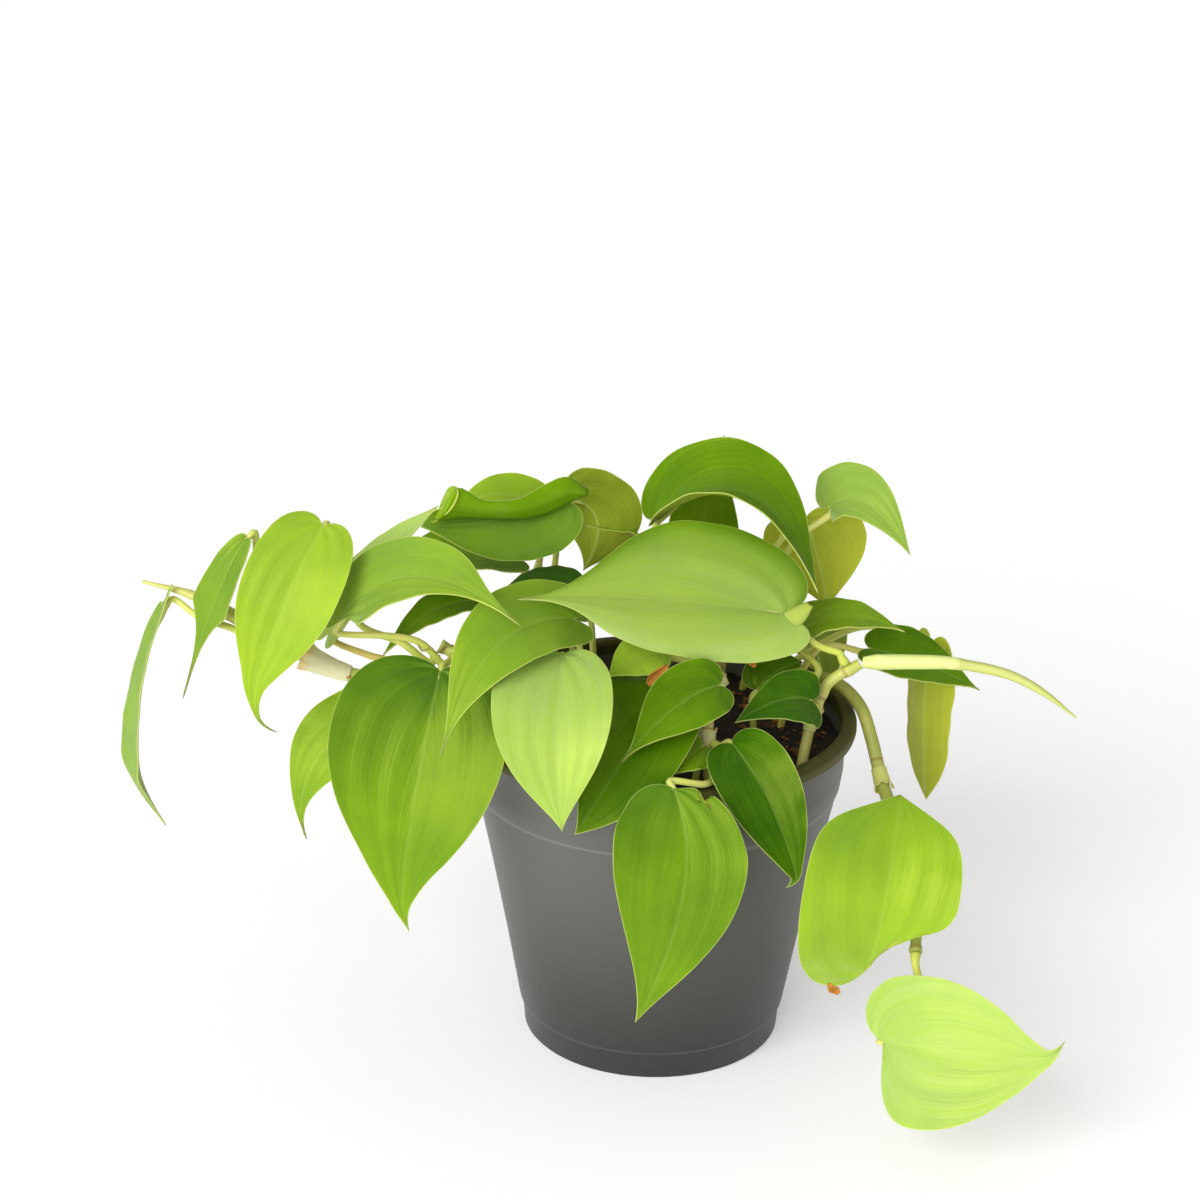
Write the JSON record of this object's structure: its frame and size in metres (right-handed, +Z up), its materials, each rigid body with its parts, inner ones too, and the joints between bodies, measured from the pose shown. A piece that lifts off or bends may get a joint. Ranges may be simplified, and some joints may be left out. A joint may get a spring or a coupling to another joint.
{
  "type": "potted heartleaf philodendron",
  "caption": "Young heart-leaved trailing house plant in a plain tapered nursery pot filled with soil, with arching and hanging stems.",
  "frame": {"origin": "centre of the pot's flat underside", "axes": "+Z up along the pot axis, -Y towards the front of the plant, +X to its right"},
  "size_m": [0.3289, 0.207, 0.2156],
  "materials": {
    "pot": "satin charcoal plastic",
    "soil": "rough damp potting mix with bark",
    "stem": "smooth waxy green stem",
    "new_leaf": "smooth pale sheath and rolled leaf",
    "leaf": "softly glossy leaf",
    "leaf_shaded": "softly glossy deep green leaf",
    "leaf_underside": "matt olive leaf",
    "leaf_pale": "softly glossy young leaf"
  },
  "bodies": {
    "root": {"pot": "pot", "soil": "soil", "stem_centre": "stem", "stem_branch": "stem", "stem_right": "stem", "stem_left": "stem", "stem_fork": "stem", "stem_backLeft": "stem", "stem_backRight": "stem", "new_leaf": "new_leaf", "leaf_01": "leaf", "leaf_02": "leaf", "leaf_03": "leaf", "leaf_04": "leaf", "leaf_05": "leaf", "leaf_06": "leaf_shaded", "leaf_07": "leaf_shaded", "leaf_08": "leaf", "leaf_09": "leaf_underside", "leaf_10": "leaf", "leaf_11": "leaf", "leaf_12": "leaf", "leaf_13": "leaf", "leaf_14": "leaf_underside", "leaf_15": "leaf", "leaf_16": "leaf_shaded", "leaf_17": "leaf_shaded", "leaf_18": "leaf_shaded", "leaf_19": "leaf_shaded", "leaf_20": "leaf", "leaf_21": "leaf", "leaf_22": "leaf", "leaf_23": "leaf_shaded", "leaf_24": "leaf", "leaf_25": "leaf", "leaf_26": "leaf_shaded", "leaf_27": "leaf", "leaf_28": "leaf_shaded", "leaf_29": "leaf_underside", "leaf_30": "leaf_shaded", "leaf_31": "leaf_underside", "leaf_32": "leaf", "leaf_33": "leaf_pale", "leaf_34": "leaf_shaded", "leaf_35": "leaf", "leaf_36": "leaf", "leaf_37": "leaf_shaded"}
  },
  "joints": []
}
